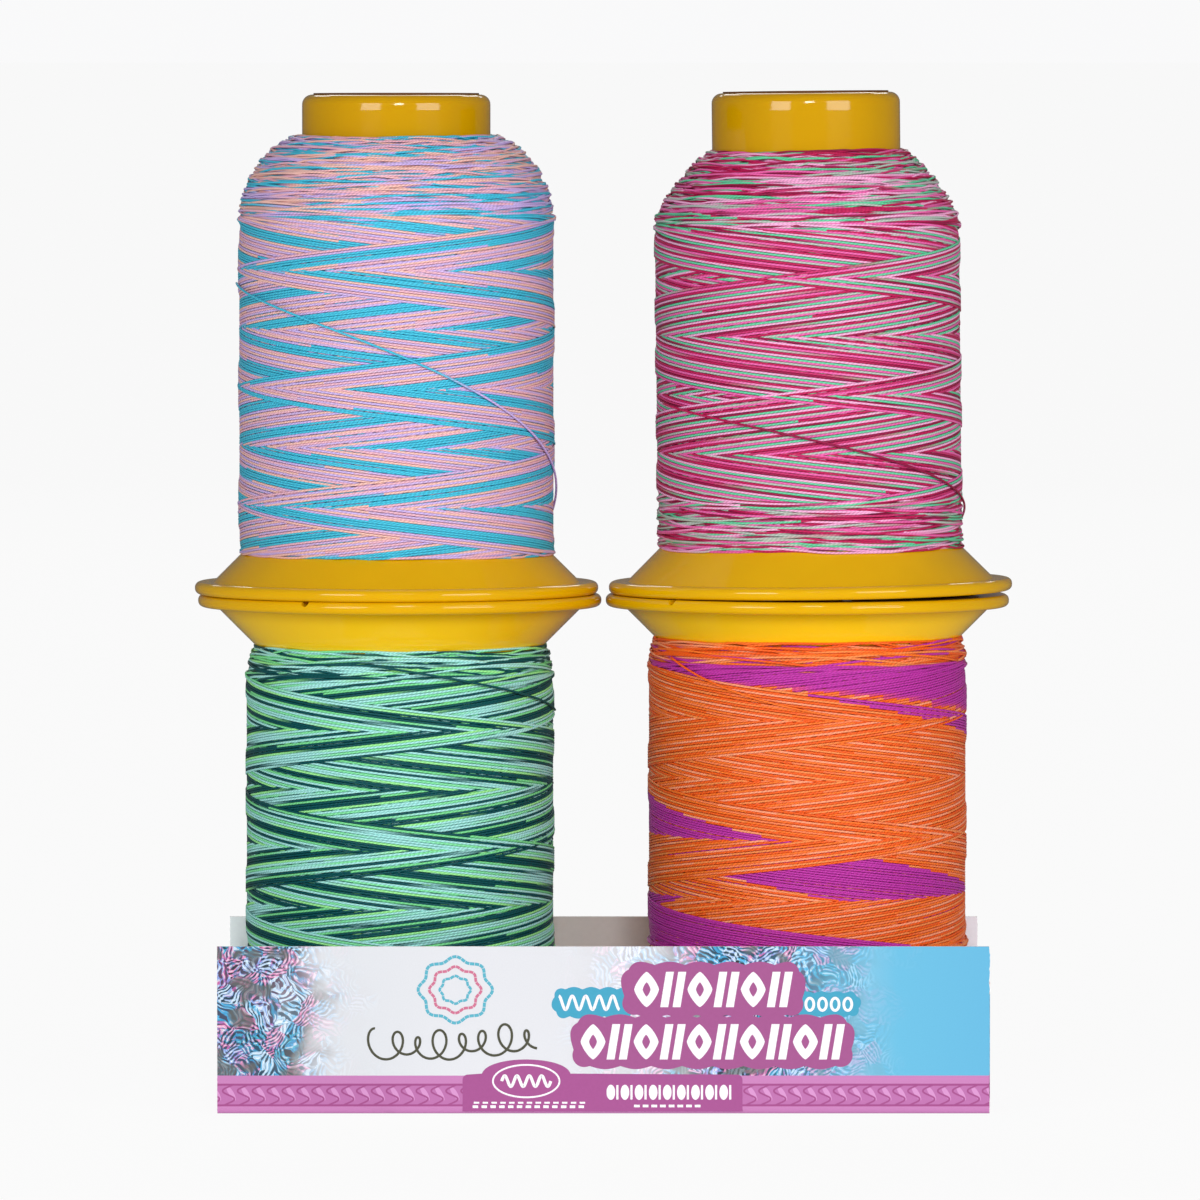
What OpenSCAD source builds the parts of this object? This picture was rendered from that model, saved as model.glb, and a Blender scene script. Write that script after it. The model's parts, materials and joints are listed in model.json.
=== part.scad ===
// Thread pack for a serger: four cross-wound spools in a low folded card tray.
// Two stacks of two spools stand side by side, flange to flange. The lower spool of each
// stack is upside down, with its neck end on the floor of the tray.
// The origin is on the table, under the middle of the tray. +X runs along the front of the
// tray, +Y runs to its back and +Z runs up. Lengths are in millimetres.

/* [Spool] */
// Height of a spool from its flange face to its neck end
spool_h = 70; // [66:0.5:76]
// Diameter of the flange
flange_d = 56.6; // [54:0.2:58]
// Thickness of the flange rim
rim_t = 1.75; // [1.4:0.05:2.2]
// Width of the flat ring outside the cone
rim_w = 2.6; // [2:0.1:3]
// Diameter of the barrel, which is also the neck
barrel_d = 26.4; // [24:0.2:28]
// Thickness of the moulded wall
wall_t = 1.2; // [1:0.1:1.4]
// Radius of the rounded neck edge
neck_round = 1.4; // [0.8:0.1:1.8]
// Diameter of the hole for a spool pin
bore_d = 10; // [8:0.5:12]
// How far the pin tube ends short of the flange face
tube_set = 1; // [0.8:0.1:1.2]
// Number of ribs between the pin tube and the outer wall
rib_count = 8; // [4:2:12]
// Width of the thread notch in the rim
notch_w = 1.1; // [0.8:0.1:1.6]

/* [Thread] */
// Diameter of the loose thread tails
thread_d = 0.32; // [0.25:0.01:0.45]
// Winding radius on the upper left spool
upper_left_r = 22.1; // [20:0.1:22.6]
// Winding radius on the upper right spool
upper_right_r = 21.4; // [20:0.1:22.6]
// Winding radius on the lower left spool
lower_left_r = 21.6; // [20:0.1:22.6]
// Winding radius on the lower right spool
lower_right_r = 22.3; // [20:0.1:22.6]

/* [Tray] */
// Width of the tray
tray_w = 106.9; // [104:0.1:114]
// Depth of the tray
tray_d = 59; // [52:0.5:64]
// Height of the front and back walls
tray_h = 23.2; // [16:0.1:30]
// Height of the two ends, which are cut lower than the walls
end_h = 18; // [12:0.5:22]
// Thickness of the card
card_t = 0.5; // [0.4:0.05:0.8]
// Length of a glue tab
tab_l = 14; // [8:1:18]

/* [Stacks] */
// Distance from the middle of the tray to the axis of a lower spool
lower_x = 28.6; // [28.4:0.1:29.4]
// Distance from the middle of the tray to the axis of an upper spool
upper_x = 29.05; // [28.7:0.05:29.4]
// Lean of the upper right spool towards the middle, in degrees
lean = 0.6; // [0.2:0.1:0.8]

/* [Hidden] */

round_fn = 96;
flange_r = flange_d / 2;
barrel_r = barrel_d / 2;
bore_r = bore_d / 2;
tube_r = bore_r + wall_t;
cone_r = flange_r - rim_w;
cone_top = rim_t + cone_r - barrel_r;
rim_round = rim_t * 0.45;
rib_t = 0.9;
rib_top = spool_h * 0.72;
label_t = 0.2;
label_r = barrel_r - neck_round - 0.2;
lead_in = 0.6;
label_hole_r = bore_r + lead_in;
lower_z = card_t + label_t;
contact_z = lower_z + spool_h;
tab_gap = 0.05;
tab_trim = 1.5;
// Angle of the thread notch, from +X about the spool's own axis
lower_left_notch = 117;
lower_right_notch = 133;
upper_notch = 60;

yellow = "#E6B012";
card_white = "#F4F1F2";
label_white = "#ECE9E2";

// A point of a quarter turn around [x, y], for rounding an outline
function arc_points(x, y, r, from, to, steps = 8) =
    [for (i = [0 : steps]) [x + r * cos(from + (to - from) * i / steps),
                            y + r * sin(from + (to - from) * i / steps)]];

// Height at which the cone of the spool has radius r
function cone_z(r) = rim_t + cone_r - r;

// How far a shoulder has risen after the part u of its length; power 2 is an ellipse
function shoulder(u, power) = pow(1 - pow(1 - u, power), 1 / power);

// ---------------------------------------------------------------- spool

// Outline of the outer wall, from the rim's face up the cone and the barrel to the neck end
module spool_outline() {
    polygon(concat(
        [[cone_r - wall_t * 1.4, 0]],
        arc_points(flange_r - rim_round, rim_round, rim_round, -90, 0),
        arc_points(flange_r - rim_round, rim_t - rim_round, rim_round, 0, 90),
        [[cone_r, rim_t], [barrel_r, cone_top]],
        arc_points(barrel_r - neck_round, spool_h - neck_round, neck_round, 0, 90),
        [[bore_r + lead_in, spool_h], [bore_r, spool_h - lead_in],
         [bore_r, spool_h - wall_t * 1.2],
         [barrel_r - wall_t, spool_h - wall_t * 1.2],
         [barrel_r - wall_t, cone_top - wall_t * 0.6]]));
}

// One spool with its flange face on z = 0 and its thread notch at the angle notch_at
module spool(notch_at) {
    color(yellow)
    difference() {
        union() {
            rotate_extrude($fn = round_fn) spool_outline();
            pin_tube();
            for (i = [0 : rib_count - 1])
                rotate([0, 0, (i + 0.5) * 360 / rib_count]) rib();
        }
        rotate([0, 0, notch_at]) notch();
    }
}

// The tube that runs on a machine's spool pin; it ends short of the flange face
module pin_tube() {
    difference() {
        translate([0, 0, tube_set])
            cylinder(h = spool_h - wall_t - tube_set, r = tube_r, $fn = round_fn);
        translate([0, 0, -1]) cylinder(h = spool_h + 2, r = bore_r, $fn = round_fn);
    }
}

// A thin radial web that joins the pin tube to the wall of the barrel and the cone
module rib() {
    inner = tube_r - wall_t / 2;
    outer = barrel_r - wall_t / 2;
    foot = cone_r - wall_t;
    rotate([90, 0, 0])
        translate([0, 0, -rib_t / 2])
            linear_extrude(rib_t)
                polygon([[inner, tube_set], [foot, tube_set], [foot, rim_t * 0.9],
                         [outer, cone_top - wall_t * 0.8], [outer, rib_top], [inner, rib_top]]);
}

// A round-bottomed groove across the face of the rim, where the thread's end is caught
module notch() {
    translate([flange_r - rim_w * 0.8, 0, notch_w * 0.15])
        rotate([0, 90, 0])
            cylinder(h = rim_w, r = notch_w / 2, $fn = 24);
}

// ---------------------------------------------------------------- thread

// A ring of wound thread. It fills the barrel from the cone up to top_z.
// foot_w and foot_h round its edge on the cone, top_h and top_power shape its shoulder.
module winding(paint, r, top_z, top_h, top_power, foot_w, foot_h) {
    steps = 14;
    foot_r = r - foot_w;
    foot_z = cone_z(foot_r);
    color(paint)
    rotate_extrude($fn = round_fn)
        polygon(concat(
            [[barrel_r, top_z], [barrel_r, cone_top], [foot_r, foot_z]],
            [for (i = [1 : steps / 2])
                let (u = i / (steps / 2))
                [foot_r + foot_w * shoulder(u, 2), foot_z + foot_h * u]],
            [for (i = [steps : -1 : 1])
                let (u = i / steps)
                [barrel_r + (r - barrel_r) * shoulder(u, top_power), top_z - top_h * u]]));
}

// Height of a tail at angle a from the front: it falls by drop a degree, and faster by bend
function tail_z(a, mid_z, drop, bend) = mid_z - drop * a - bend * a * a;

// Points of a tail that lies on the winding from one angle to another
function tail_route(r, from, to, mid_z, drop, bend) =
    let (steps = 24)
    [for (i = [0 : steps])
        let (a = from + (to - from) * i / steps)
        [r * sin(a), -r * cos(a), tail_z(a, mid_z, drop, bend)]];

// A thin tube around a list of points, with six sides
module tube_along(points, d) {
    sides = 6;
    last = len(points) - 1;
    rings = [for (i = [0 : last])
        let (ahead = points[min(i + 1, last)] - points[max(i - 1, 0)],
             way = ahead / norm(ahead),
             out = [points[i][0], points[i][1], 0] / norm([points[i][0], points[i][1]]),
             side = cross(way, out) / norm(cross(way, out)),
             up = cross(side, way))
        [for (k = [0 : sides - 1])
            points[i] + d / 2 * (cos(k * 360 / sides) * up + sin(k * 360 / sides) * side)]];
    skin = [for (i = [0 : last - 1], k = [0 : sides - 1])
        [i * sides + k, i * sides + (k + 1) % sides,
         (i + 1) * sides + (k + 1) % sides, (i + 1) * sides + k]];
    ends = [[for (k = [sides - 1 : -1 : 0]) k],
            [for (k = [0 : sides - 1]) last * sides + k]];
    polyhedron([for (ring = rings, p = ring) p], concat(skin, ends), convexity = 10);
}

module tail(paint, r, from, to, mid_z, drop, bend) {
    color(paint)
        tube_along(tail_route(r + thread_d, from, to, mid_z, drop, bend), thread_d);
}

// Round paper label, glued on the neck end around the pin hole
module label() {
    color(label_white)
    translate([0, 0, spool_h])
    difference() {
        cylinder(h = label_t, r = label_r, $fn = round_fn);
        translate([0, 0, -1]) cylinder(h = label_t + 2, r = label_hole_r, $fn = round_fn);
    }
}

// ---------------------------------------------------------------- places

// A lower spool is turned over, so its neck end faces the floor of the tray
module in_lower(side) {
    translate([side * lower_x, 0, contact_z])
        rotate([180, 0, 0])
            children();
}

module in_upper_left() {
    translate([-upper_x, 0, contact_z]) children();
}

// The upper right spool leans on the side of its rim that is nearer the middle
module in_upper_right() {
    foot = flange_r - rim_round;
    translate([upper_x - foot, 0, contact_z])
        rotate([0, -lean, 0])
            translate([foot, 0, 0])
                children();
}

// ---------------------------------------------------------------- tray

module tray_floor() {
    color(card_white)
    translate([-tray_w / 2, -tray_d / 2, 0]) cube([tray_w, tray_d, card_t]);
}

// A long wall of the tray: side is -1 for the front and 1 for the back
module long_wall(side) {
    y = side > 0 ? tray_d / 2 - card_t : -tray_d / 2;
    color(card_white)
    translate([-tray_w / 2, y, card_t]) cube([tray_w, card_t, tray_h - card_t]);
}

// An end of the tray: side is -1 for the left end and 1 for the right end
module end_wall(side) {
    x = side > 0 ? tray_w / 2 - card_t : -tray_w / 2;
    color(card_white)
    translate([x, -tray_d / 2 + card_t, card_t])
        cube([card_t, tray_d - 2 * card_t, end_h - card_t]);
}

module tray_front_panel() {
    long_wall(-1);
}

module tray_back_panel() {
    long_wall(1);
}

module tray_left_end() {
    end_wall(-1);
}

module tray_right_end() {
    end_wall(1);
}

// Four tabs folded off the ends of the tray and glued inside its long walls
module tray_glue_tabs() {
    color(card_white)
    for (sx = [-1, 1], sy = [-1, 1])
        translate([sx * (tray_w / 2 - card_t - tab_gap - tab_l / 2),
                   sy * (tray_d / 2 - card_t * 1.5 - tab_gap),
                   (end_h + card_t) / 2])
            cube([tab_l, card_t, end_h - card_t - 2 * tab_trim], center = true);
}

// ---------------------------------------------------------------- nodes

module lower_left_spool() {
    in_lower(-1) spool(lower_left_notch);
}

module lower_left_winding() {
    in_lower(-1) winding("#2F8F7C", lower_left_r, 63.5, 9, 1.7, 1.4, 6.5);
}

module lower_left_tail() {
    in_lower(-1) mirror([0, 1, 0])
        tail("#0B5A58", lower_left_r, -8, 84, 9.6, -0.062, -0.0002);
}

module lower_left_label() {
    in_lower(-1) label();
}

module lower_right_spool() {
    in_lower(1) spool(lower_right_notch);
}

module lower_right_winding() {
    in_lower(1) winding("#EF6B25", lower_right_r, 63, 9, 1.6, 0.9, 5);
}

module lower_right_tail() {
    in_lower(1) mirror([0, 1, 0])
        tail("#F28C6A", lower_right_r, -58, 60, 15.4, -0.075, 0.0008);
}

module lower_right_label() {
    in_lower(1) label();
}

module upper_left_spool() {
    in_upper_left() spool(upper_notch);
}

module upper_left_winding() {
    in_upper_left() winding("#8FB4D8", upper_left_r, 64.3, 12, 1.8, 0.2, 1);
}

module upper_left_tail() {
    in_upper_left() tail("#5E8FA8", upper_left_r, -86, 112, 34.3, 0.16, 0.0006);
}

module upper_left_label() {
    in_upper_left() label();
}

module upper_right_spool() {
    in_upper_right() spool(upper_notch);
}

module upper_right_winding() {
    in_upper_right() winding("#C9578F", upper_right_r, 62.1, 10, 1.25, 0.2, 1);
}

module upper_right_tail() {
    in_upper_right() tail("#C65A9A", upper_right_r, -70, 106, 22, 0.09, 0.0003);
}

module upper_right_label() {
    in_upper_right() label();
}

tray_floor();
tray_front_panel();
tray_back_panel();
tray_left_end();
tray_right_end();
tray_glue_tabs();
lower_left_spool();
lower_left_winding();
lower_left_tail();
lower_left_label();
lower_right_spool();
lower_right_winding();
lower_right_tail();
lower_right_label();
upper_left_spool();
upper_left_winding();
upper_left_tail();
upper_left_label();
upper_right_spool();
upper_right_winding();
upper_right_tail();
upper_right_label();
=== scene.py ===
"""Looks of the serger thread pack: four cross-wound spools in a low printed card tray."""

import json
import math

import bmesh
import bpy
import numpy as np
from mathutils import Matrix, Vector

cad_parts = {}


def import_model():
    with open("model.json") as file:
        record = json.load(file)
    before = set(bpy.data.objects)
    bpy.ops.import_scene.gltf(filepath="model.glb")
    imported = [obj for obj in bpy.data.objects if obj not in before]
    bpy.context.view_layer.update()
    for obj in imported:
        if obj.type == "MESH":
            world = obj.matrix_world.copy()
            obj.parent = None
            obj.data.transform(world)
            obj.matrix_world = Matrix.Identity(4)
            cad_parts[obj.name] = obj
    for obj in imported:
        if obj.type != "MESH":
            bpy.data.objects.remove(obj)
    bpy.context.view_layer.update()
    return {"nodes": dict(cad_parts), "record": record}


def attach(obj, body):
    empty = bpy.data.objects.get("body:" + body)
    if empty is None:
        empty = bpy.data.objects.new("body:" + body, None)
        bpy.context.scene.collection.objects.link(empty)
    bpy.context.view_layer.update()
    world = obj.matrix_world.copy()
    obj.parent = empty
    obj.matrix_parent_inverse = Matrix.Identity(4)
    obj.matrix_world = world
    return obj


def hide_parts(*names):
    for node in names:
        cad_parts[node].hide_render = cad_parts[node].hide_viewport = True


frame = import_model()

MM = 0.001
SCENE = bpy.context.scene


# -------------------- camera

def add_camera():
    """Far and level with the tops of the spools, looking slightly down."""
    data = bpy.data.cameras.new("camera")
    data.sensor_width = 36
    data.lens = 375
    data.clip_start = 0.1
    data.clip_end = 200
    camera = bpy.data.objects.new("camera", data)
    camera.location = (-0.0005, -1.753, 0.1494)
    camera.rotation_euler = (math.radians(90 - 2.60), 0, 0)
    SCENE.collection.objects.link(camera)
    SCENE.camera = camera


add_camera()


# -------------------- helpers

def srgb(text):
    """A colour written as RRGGBB, as linear light."""
    parts = [int(text[i:i + 2], 16) / 255 for i in (0, 2, 4)]
    lin = [c / 12.92 if c <= 0.04045 else ((c + 0.055) / 1.055) ** 2.4 for c in parts]
    return (*lin, 1.0)


def darker(colour, share):
    """A colour written as RRGGBB, with that share of its light."""
    return (*(c * share for c in srgb(colour)[:3]), 1.0)


class Value:
    """A number that a material works out at each point. Sums with it add the nodes."""

    def __init__(self, nodes, socket):
        self.nodes, self.socket = nodes, socket

    def math(self, operation, *others):
        return self.nodes.feed(self.nodes.add("Math", operation=operation), self, *others)

    def __add__(self, other):
        return self.math("ADD", other)

    def __sub__(self, other):
        return self.math("SUBTRACT", other)

    def __mul__(self, other):
        return self.math("MULTIPLY", other)

    def __truediv__(self, other):
        return self.math("DIVIDE", other)

    def __abs__(self):
        return self.math("ABSOLUTE")

    def smooth(self, low, high, to_low=0.0, to_high=1.0):
        """A soft step: to_low where the number is under low, to_high where it is over high."""
        node = self.nodes.add("MapRange", interpolation_type="SMOOTHSTEP")
        return self.nodes.feed(node, self, low, high, to_low, to_high)


class Nodes:
    """A short way to write the nodes of a new material, or of the world."""

    def __init__(self, name, world=False):
        self.owner = (bpy.data.worlds if world else bpy.data.materials).new(name)
        self.owner.use_nodes = True
        self.tree = self.owner.node_tree
        self.tree.nodes.clear()
        self.out = self.add("OutputWorld" if world else "OutputMaterial")

    def add(self, kind, **values):
        node = self.tree.nodes.new("ShaderNode" + kind)
        for key, value in values.items():
            setattr(node, key, value)
        return node

    def put(self, socket, value):
        """Links or sets one input. A colour may be written as RRGGBB."""
        if isinstance(value, Value):
            value = value.socket
        if isinstance(value, str):
            value = srgb(value)
        if isinstance(value, bpy.types.NodeSocket):
            self.tree.links.new(value, socket)
        else:
            socket.default_value = value

    def feed(self, node, *values):
        """Fills a node's first inputs in order, and gives its first output."""
        for socket, value in zip(node.inputs, values):
            self.put(socket, value)
        return Value(self, node.outputs[0])

    def place(self):
        """The place in the object's own frame, in metres."""
        return self.add("TexCoord").outputs["Object"]

    def split(self, vector):
        """The three numbers of a vector."""
        node = self.add("SeparateXYZ")
        self.put(node.inputs[0], vector)
        return [Value(self, output) for output in node.outputs]

    def vector(self, x, y):
        return self.feed(self.add("CombineXYZ"), x, y)

    def noise(self, scale, vector, detail=3.0, rough=0.5, distortion=0.0, output=0):
        node = self.add("TexNoise")
        for name, value in (("Vector", vector), ("Scale", scale), ("Detail", detail),
                            ("Roughness", rough), ("Distortion", distortion)):
            self.put(node.inputs[name], value)
        return Value(self, node.outputs[output])

    def mix(self, factor, a, b, blend="MIX"):
        node = self.add("Mix", data_type="RGBA", blend_type=blend)
        for index, value in ((0, factor), (6, a), (7, b)):
            self.put(node.inputs[index], value)
        return node.outputs[2]

    def toned(self, colour, tone):
        """A colour made lighter or darker by a number."""
        grey = self.feed(self.add("CombineColor"), tone, tone, tone)
        return self.mix(1.0, colour, grey, "MULTIPLY")

    def ramp(self, factor, stops):
        node = self.add("ValToRGB")
        elements = node.color_ramp.elements
        elements.remove(elements[-1])
        elements[0].position = stops[0][0]
        elements[0].color = srgb(stops[0][1])
        for position, colour in stops[1:]:
            elements.new(position).color = srgb(colour)
        self.put(node.inputs[0], factor)
        return node.outputs[0]

    def bump(self, height, strength, distance, normal=None):
        node = self.add("Bump")
        for name, value in (("Height", height), ("Strength", strength), ("Distance", distance)):
            self.put(node.inputs[name], value)
        if normal is not None:
            self.put(node.inputs["Normal"], normal)
        return node.outputs[0]

    def surface(self, colour, roughness, normal=None, **sockets):
        shader = self.add("BsdfPrincipled")
        sockets = {"Base Color": colour, "Roughness": roughness, **sockets}
        if normal is not None:
            sockets["Normal"] = normal
        for name, value in sockets.items():
            self.put(shader.inputs[name.replace("_", " ")], value)
        self.put(self.out.inputs[0], shader.outputs[0])
        return self.owner


def distances(line):
    """How far each point of a line is from its start, measured along it."""
    return np.concatenate([[0], np.cumsum(np.hypot(*np.diff(line, axis=0).T))])


def unit(vectors):
    """The same directions, each one long."""
    return vectors / np.maximum(np.linalg.norm(vectors, axis=1)[:, None], 1e-9)


def add_object(name, mesh, materials):
    for material in materials:
        mesh.materials.append(material)
    obj = bpy.data.objects.new(name, mesh)
    SCENE.collection.objects.link(obj)
    return obj


def mesh_object(name, verts, faces, *materials, smooth=True):
    """A mesh from points in millimetres."""
    mesh = bpy.data.meshes.new(name)
    mesh.from_pydata((np.asarray(verts) * MM).tolist(), [], [list(f) for f in faces])
    mesh.polygons.foreach_set("use_smooth", np.full(len(mesh.polygons), smooth))
    mesh.update()
    return add_object(name, mesh, materials)


def quad_mesh(name, verts, quads, ends, uvs, material):
    """The same for large arrays: quads, a uv for each of their corners, and end caps of one size."""
    mesh = bpy.data.meshes.new(name)
    n_caps, size = ends.shape
    loops = np.concatenate([quads.ravel(), ends.ravel()]).astype(np.int32)
    starts = np.concatenate([np.arange(len(quads)) * 4,
                             len(quads) * 4 + np.arange(n_caps) * size]).astype(np.int32)
    mesh.vertices.add(len(verts))
    mesh.vertices.foreach_set("co", (verts * MM).astype(np.float32).ravel())
    mesh.loops.add(len(loops))
    mesh.loops.foreach_set("vertex_index", loops)
    mesh.polygons.add(len(starts))
    mesh.polygons.foreach_set("loop_start", starts)
    mesh.polygons.foreach_set("use_smooth", np.ones(len(starts), bool))
    layer = mesh.uv_layers.new(name="OFBake")
    all_uv = np.concatenate([uvs.reshape(-1, 2), np.repeat(uvs[:1, 0], n_caps * size, 0)])
    layer.data.foreach_set("uv", all_uv.astype(np.float32).ravel())
    mesh.update(calc_edges=True)
    mesh.validate()
    return add_object(name, mesh, [material])


# -------------------- places of the spools

MOUNTS = {m["name"]: m for m in frame["record"]["mounts"]}
BORE_MID = 35.2   # from the flange face to the middle of the pin hole


def place_of(spool):
    """The matrix, in millimetres, from a spool's own frame to the pack's."""
    mount = MOUNTS[spool + "_pin_hole"]
    pos = Vector(mount["pos_m"]) / MM
    axis = Vector(mount["axis"]).normalized()
    if spool.startswith("lower"):
        return Matrix.Translation(pos + axis * BORE_MID) @ Matrix.Rotation(math.pi, 4, "X")
    lean = math.atan2(-axis.x, axis.z)
    return Matrix.Translation(pos - axis * BORE_MID) @ Matrix.Rotation(-lean, 4, "Y")


def to_pack(points, spool):
    m = np.array(place_of(spool))
    return points @ m[:3, :3].T + m[:3, 3]


FLANGE_Z = place_of("lower_left").translation.z     # where the flanges of a stack meet


# -------------------- wound thread

BARREL_R = 13.2
CONE_SUM = 27.45        # height plus radius of a point on the spool's cone
RINGS = 64              # rings of a strand's tube in one turn
FINE = 8                # height map cells between two rings
CELLS = RINGS * FINE
HALO = 16               # cells laid before and after a turn, so that turns join smoothly
STEP = 0.05             # height map cells along the profile, mm
HALF_W = 0.172          # half the width of a laid strand
HALF_H = 0.135          # half its height
SETTLE = 0.55           # how high a strand's centre sits over the layers below, in half heights
SIDES = 5
BASE_PITCH = 0.34       # from turn to turn of the plain layers
TUBE_W = 0.188          # drawn a little wider, so that the sides of neighbours touch
DIVE = 0.06             # how far the ends of a visible run go down, mm
CORE_DEPTH = 0.34       # from the winding's surface to the plain core under it, mm
ROWS = 8                # rows of the thread's colour map


def shoulder(u, power):
    return (1 - (1 - u) ** power) ** (1 / power)


class Profile:
    """Outline of a winding as points (r, z) at equal steps along it; s equals z on the body."""

    def __init__(self, r, top_z, top_h, top_power, foot_w, foot_h):
        u = np.linspace(0, 1, 60)
        foot_r = r - foot_w
        foot = np.stack([foot_r + foot_w * shoulder(u, 2), CONE_SUM - foot_r + foot_h * u], 1)
        u = (1 - np.linspace(0, 1, 400)) ** 2
        top = np.stack([BARREL_R + (r - BARREL_R) * shoulder(u, top_power), top_z - top_h * u], 1)
        line = np.concatenate([foot, top])
        along = distances(line)
        self.s0 = line[len(foot) - 1, 1] - along[len(foot) - 1]
        self.n = int(along[-1] / STEP)
        grid = np.arange(self.n + 1) * STEP
        self.r = np.interp(grid, along, line[:, 0])
        self.z = np.interp(grid, along, line[:, 1])
        self.s1 = self.s0 + self.n * STEP
        dr, dz = np.gradient(self.r), np.gradient(self.z)
        kernel = np.ones(21) / 21
        dr, dz = (np.convolve(np.pad(d, 10, mode="edge"), kernel, "valid") for d in (dr, dz))
        size = np.hypot(dr, dz)
        self.nr, self.nz = dz / size, -dr / size

    def at(self, s):
        x = np.clip((s - self.s0) / STEP, 0, self.n)
        grid = np.arange(self.n + 1)
        return [np.interp(x, grid, v) for v in (self.r, self.z, self.nr, self.nz)]


class Winder:
    """Lays strands in time order on a height map, so that each rests on those under it."""

    def __init__(self, profile, start):
        self.profile = profile
        self.margin = 8
        self.height = np.full((CELLS, profile.n + 1 + 2 * self.margin), start)
        self.owner = np.full(self.height.shape, -1, np.int32)
        self.strands = []
        self.segments = 0

    def lay(self, first, s, hue, keep):
        """One strand through neighbouring cells, from cell number first. keep is the slice laid,
        and hue(i) the place on the dye's repeat of its segments."""
        p = self.profile
        cell = (first + np.arange(len(s))) % CELLS
        s = np.clip(s, p.s0 + 0.15, p.s1 - 0.15)
        x = (s - p.s0) / STEP + self.margin
        near = np.rint(x).astype(int)[:, None] + np.arange(-4, 5)
        off = (near - x[:, None]) * STEP / HALF_W
        inside = np.abs(off) < 1
        lift = HALF_H * np.sqrt(np.clip(1 - off ** 2, 0, 1))
        rows = cell[:, None]
        # its centre rests on what is under its middle, and bridges small dips
        under = self.height[rows, near[:, 2:7]].mean(1) + SETTLE * HALF_H
        bell = np.exp(-np.linspace(-1.8, 1.8, 17) ** 2)
        centre = np.convolve(np.pad(under, 8, mode="edge"), bell / bell.sum(), "valid")
        part = slice(keep[0], keep[1])
        ids = self.segments + (np.arange(len(s)) - keep[0]) // FINE
        top = centre[:, None] + lift
        old = self.height[rows, near]
        better = (inside & (top > old))[part]
        r_, n_ = np.broadcast_to(rows, near.shape)[part][better], near[part][better]
        self.height[r_, n_] = top[part][better]
        self.owner[r_, n_] = np.broadcast_to(ids[:, None], near.shape)[part][better]
        rings = np.arange(keep[0], keep[1] + 1, FINE)
        rings = rings[rings < len(s)]
        count = len(rings) - 1
        self.strands.append((self.segments, (first + rings) / CELLS, s[rings],
                             centre[rings], hue(np.arange(count))))
        self.segments += count

    def join(self, first):
        """Makes one strand of those from number first on, each of which starts where the last ends."""
        seg0, turn, s, centre, hue = zip(*self.strands[first:])
        whole = [np.concatenate([v[:-1] for v in line] + [line[-1][-1:]])
                 for line in (turn, s, centre)]
        self.strands[first:] = [(seg0[0], *whole, np.concatenate(hue))]


def fold(x, width):
    """Distance from a reversal, with the point rounded off."""
    return np.where(x < width, x * x / (2 * width) + width / 2, x)


def lay_arcs(winder, rng, s_from, s_to, count, lead):
    """Reversals of the layers below: short, nearly level arcs that work along the profile."""
    half = int(CELLS * 0.17 / FINE) * FINE      # cells from an arc's middle to its ends
    pitch = 24 / 360                            # turns from one arc to the next
    x = np.abs(np.arange(-half, half + 1)) / CELLS
    for i in range(count):
        u = min(max((i + rng.uniform(-6, 6)) / count, 0), 1)
        s = s_from + (s_to - s_from) * u + rng.uniform(-0.3, 0.3)
        first = int(CELLS * (i * pitch + rng.uniform(-0.06, 0.06)))
        bend = fold(x, rng.uniform(0.08, 0.16)) * lead * (1 if s_to < s_from else -1)
        bend = bend - bend.min()
        hue = int(rng.integers(0, 4000))
        winder.lay(first, s - bend, lambda i, hue=hue: hue + i, (0, 2 * half))


def lay_base(winder, s_from, s_to):
    """A plain layer, turn beside turn, so that nothing bare shows between the arcs."""
    count = int(abs(s_to - s_from) / BASE_PITCH)
    first_strand = len(winder.strands)
    for turn in range(count):
        t = turn + np.arange(-HALO, CELLS + HALO + 1) / CELLS
        s = s_from + (s_to - s_from) * t / count
        winder.lay(turn * CELLS - HALO, s, lambda i, turn=turn: turn * RINGS + i,
                   (HALO, HALO + CELLS))
    winder.join(first_strand)


PASSES = 58             # traverses in the outer layers, up and down
DRIFT = 1 / 48          # turns by which a traverse falls short of a whole number


def traverse(spec):
    """Turns of the spool while the thread goes up and comes down again."""
    return spec["folds"] - DRIFT


def dye_column(spec, place, slip):
    """The column of the colour map at a place of the thread, in segments from its start."""
    rate, phase, slip_step = spec.get("dye", (1, 0, 1))
    at = place * rate + phase + slip_step * slip
    if "fine" in spec:
        # past this column the dye follows a short repeat of its own, clear of its neighbours
        column, length = spec["fine"]
        margin = 3
        cycle = column + margin + (place / length % 1) * (spec["repeat"] - column - 2 * margin)
        at = np.where(at % spec["repeat"] >= column, cycle, at)
    if "accent" in spec:
        # at a slower rhythm a stretch takes this column's colour
        rate, start, length, share, column = spec["accent"]
        at = np.where((place * rate + start) / length % 1 < share, column + at % 3, at)
    return np.floor(at).astype(int)


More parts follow.
